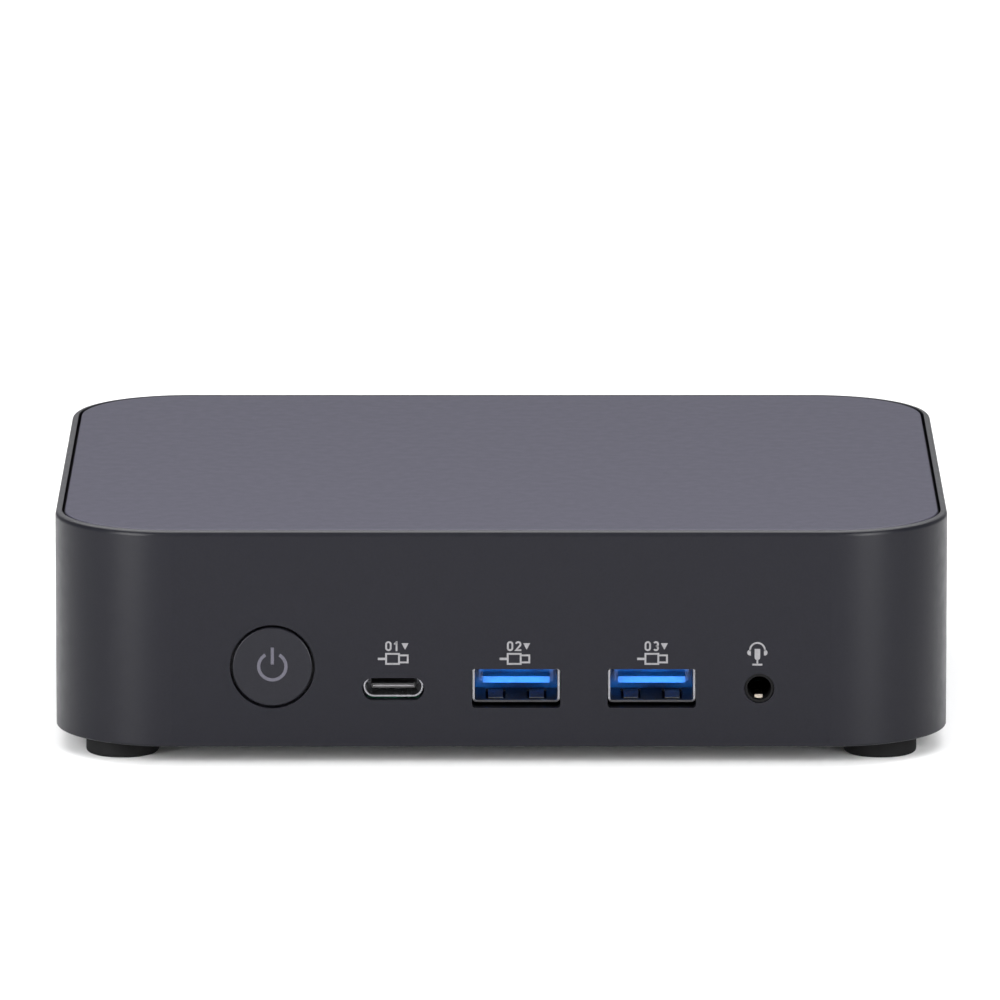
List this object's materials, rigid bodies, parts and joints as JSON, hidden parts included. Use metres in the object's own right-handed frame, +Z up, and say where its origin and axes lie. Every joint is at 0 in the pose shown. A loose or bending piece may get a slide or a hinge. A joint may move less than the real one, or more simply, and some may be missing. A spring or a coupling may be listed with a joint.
{
  "type": "mini desktop computer",
  "caption": "Small flat desktop computer with rounded corners, an inset lid, a round power button and front and rear sockets.",
  "frame": {"origin": "on the table under the middle of the case, at the bottom of the feet", "axes": "+X to the right seen from the front, +Y to the back, +Z up"},
  "size_m": [0.135, 0.115, 0.036],
  "materials": {
    "shell_plastic": "fine-textured matte",
    "lid_plastic": "fine-textured matte",
    "cover_metal": "matte powder coat",
    "rubber": "matte",
    "black_plastic": "satin moulded",
    "button_plastic": "fine-textured matte",
    "lens": "frosted, unlit",
    "port_metal": "bright tin plate",
    "blue_plastic": "glossy",
    "gold": "gold plate",
    "screw_steel": "black zinc",
    "board": "solder mask",
    "chip": "moulded epoxy",
    "silicon": "mirror polished",
    "steel": "stamped sheet",
    "aluminium": "plain",
    "copper": "bare copper",
    "magnet": "bonded ferrite",
    "sleeve": "insulating sleeve",
    "ferrite": "moulded powder"
  },
  "bodies": {
    "case": {"chassis_shell": "shell_plastic", "top_lid": "lid_plastic", "bottom_cover": "cover_metal", "rear_io_panel": "black_plastic", "rubber_feet": "rubber", "cover_screws": "screw_steel", "board_screws": "screw_steel", "block_screws": "screw_steel", "bracket_inserts": "gold", "button_guide": "black_plastic", "power_switch": "black_plastic", "usb_c_front_shell": "port_metal", "usb_c_front_tongue": "black_plastic", "usb_a_left_shell": "port_metal", "usb_a_right_shell": "port_metal", "usb_a_left_tongue": "blue_plastic", "usb_a_right_tongue": "blue_plastic", "usb_a_contacts": "gold", "headset_jack_body": "black_plastic", "headset_jack_contacts": "gold", "dc_jack_body": "black_plastic", "dc_jack_pin": "port_metal", "video_port_1_shell": "port_metal", "video_port_2_shell": "port_metal", "video_port_1_tongue": "black_plastic", "video_port_2_tongue": "black_plastic", "lan_jack_shell": "port_metal", "lan_jack_insert": "black_plastic", "lan_jack_contacts": "gold", "usb_stack_shell": "port_metal", "usb_stack_tongues": "blue_plastic", "main_board": "board", "cpu_package": "board", "cpu_die": "silicon", "board_chips": "chip", "board_inductors": "ferrite", "board_capacitors": "aluminium", "coin_cell": "steel", "coin_cell_holder": "black_plastic", "memory_socket": "black_plastic", "memory_module": "board", "ssd_socket": "black_plastic", "ssd_card": "board", "ssd_screw": "steel", "wifi_card": "board", "antennas": "black_plastic", "antenna_leads": "sleeve", "heat_block": "copper", "heat_pipe": "copper", "fin_stack": "aluminium", "fan_housing": "black_plastic", "fan_cover": "steel", "fan_stator": "copper", "fan_lead": "sleeve"},
    "power_button": {"power_button": "button_plastic", "power_lens": "lens"},
    "switch_plunger": {"switch_plunger": "blue_plastic"},
    "fan_rotor": {"fan_impeller": "black_plastic", "fan_magnet": "magnet", "fan_shaft": "steel"}
  },
  "joints": [
    {"name": "power_press", "type": "slide", "parent": "case", "child": "power_button", "axis": [0, 1, 0], "range_m": [0, 0.0004], "stiffness_N_per_m": 400, "springref_m": -0.004},
    {"name": "plunger_press", "type": "slide", "parent": "case", "child": "switch_plunger", "axis": [0, 1, 0], "range_m": [0, 0.0004]},
    {"name": "fan_spin", "type": "hinge", "parent": "case", "child": "fan_rotor", "pos_m": [0.024, 0.009, 0], "axis": [0, 0, 1], "continuous": true}
  ],
  "couplings": [
    {"joint": "plunger_press", "follows": "power_press", "ratio": 1}
  ]
}
